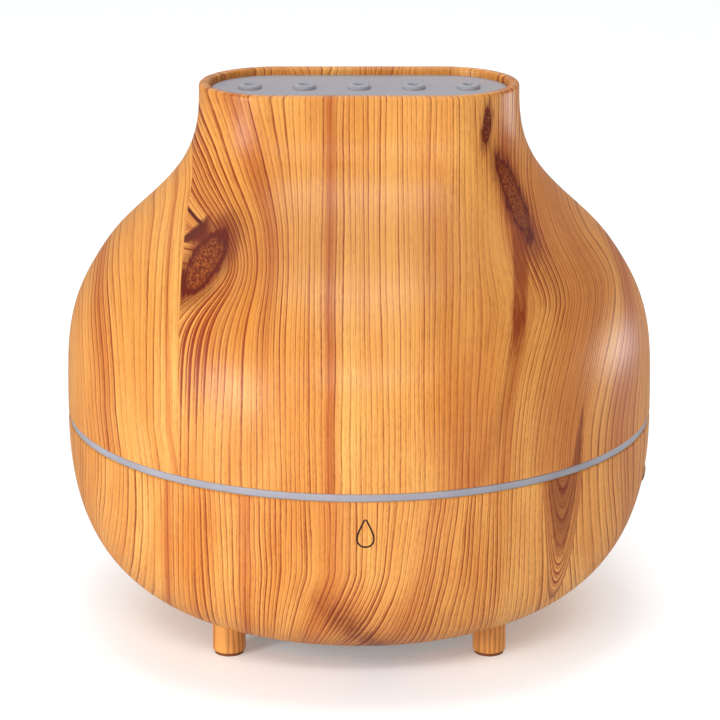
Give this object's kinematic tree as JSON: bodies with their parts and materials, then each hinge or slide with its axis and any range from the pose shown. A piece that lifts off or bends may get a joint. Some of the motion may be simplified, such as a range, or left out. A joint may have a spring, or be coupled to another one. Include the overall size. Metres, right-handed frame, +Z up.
{
  "type": "essential oil diffuser",
  "caption": "Round wood-grain ultrasonic essential oil diffuser on peg feet, with an oval outlet plate, a lift-off cover, a light ring, a water tank, a fan and push buttons.",
  "frame": {"origin": "on the table under the middle of the round body", "axes": "+Z up; -Y is the front; +X is the side with the buttons"},
  "size_m": [0.17, 0.17, 0.1595],
  "materials": {
    "wood_print": "satin, printed honey-pine grain",
    "frosted_grey": "frosted, slightly translucent",
    "milky_plastic": "translucent satin",
    "tank_white": "glossy moulded",
    "disc_metal": "satin",
    "silicone": "matte",
    "black_plastic": "fine texture",
    "bearing_brass": "turned",
    "stator_iron": "lacquered",
    "screw_steel": "zinc plated",
    "shaft_steel": "ground",
    "circuit_board": "solder mask",
    "inductor_dark": "ferrite",
    "capacitor_sleeve": "sleeve",
    "heatsink_aluminium": "extruded",
    "chip_black": "moulded",
    "header_white": "moulded",
    "led_white": "encapsulated",
    "nut_nickel": "plated",
    "bottom_brown": "fine texture",
    "foot_wood": "sealed pine",
    "pad_rubber": "matte",
    "wire_insulation": "smooth",
    "magnet_dark": "ground",
    "button_brown": "satin"
  },
  "bodies": {
    "base": {"base_shell": "wood_print", "light_ring": "frosted_grey", "water_tank": "tank_white", "duct_cap": "tank_white", "atomizer_disc": "disc_metal", "atomizer_seal": "silicone", "atomizer_retainer": "black_plastic", "retainer_screws": "screw_steel", "fan_frame": "black_plastic", "fan_bearing": "bearing_brass", "fan_stator": "stator_iron", "fan_screws": "screw_steel", "driver_board": "circuit_board", "driver_inductor": "inductor_dark", "driver_capacitors": "capacitor_sleeve", "driver_heatsink": "heatsink_aluminium", "driver_transistor": "chip_black", "control_chip": "chip_black", "board_headers": "header_white", "board_screws": "screw_steel", "led_board": "circuit_board", "leds": "led_white", "dc_jack": "black_plastic", "jack_nut": "nut_nickel", "button_board": "circuit_board", "tact_switches": "chip_black", "button_board_screws": "screw_steel", "bottom_cover": "bottom_brown", "bottom_screws": "screw_steel", "foot_front_left": "foot_wood", "foot_front_right": "foot_wood", "foot_back_left": "foot_wood", "foot_back_right": "foot_wood", "foot_pads": "pad_rubber", "foot_screws": "screw_steel", "fan_leads": "wire_insulation", "atomizer_leads": "wire_insulation", "power_leads": "wire_insulation", "switch_leads": "wire_insulation", "led_leads": "wire_insulation"},
    "cover": {"cover_shell": "wood_print", "mist_plate": "frosted_grey", "mist_guide": "milky_plastic", "guide_screws": "screw_steel"},
    "fan_rotor": {"fan_rotor": "black_plastic", "fan_shaft": "shaft_steel", "fan_magnet": "magnet_dark"},
    "mist_button": {"mist_button": "button_brown"},
    "light_button": {"light_button": "button_brown"}
  },
  "joints": [
    {"name": "cover_lift", "type": "slide", "parent": "base", "child": "cover", "axis": [0, 0, 1], "range_m": [0, 0.12]},
    {"name": "fan_spin", "type": "hinge", "parent": "base", "child": "fan_rotor", "pos_m": [-0.04, 0, 0.031], "axis": [0, 0, 1], "continuous": true},
    {"name": "mist_press", "type": "slide", "parent": "base", "child": "mist_button", "axis": [-0.9925, -0.1219, 0], "range_m": [0, 0.0008], "stiffness_N_per_m": 400, "springref_m": -0.0005},
    {"name": "light_press", "type": "slide", "parent": "base", "child": "light_button", "axis": [-0.9925, -0.1219, 0], "range_m": [0, 0.0008], "stiffness_N_per_m": 400, "springref_m": -0.0005}
  ]
}
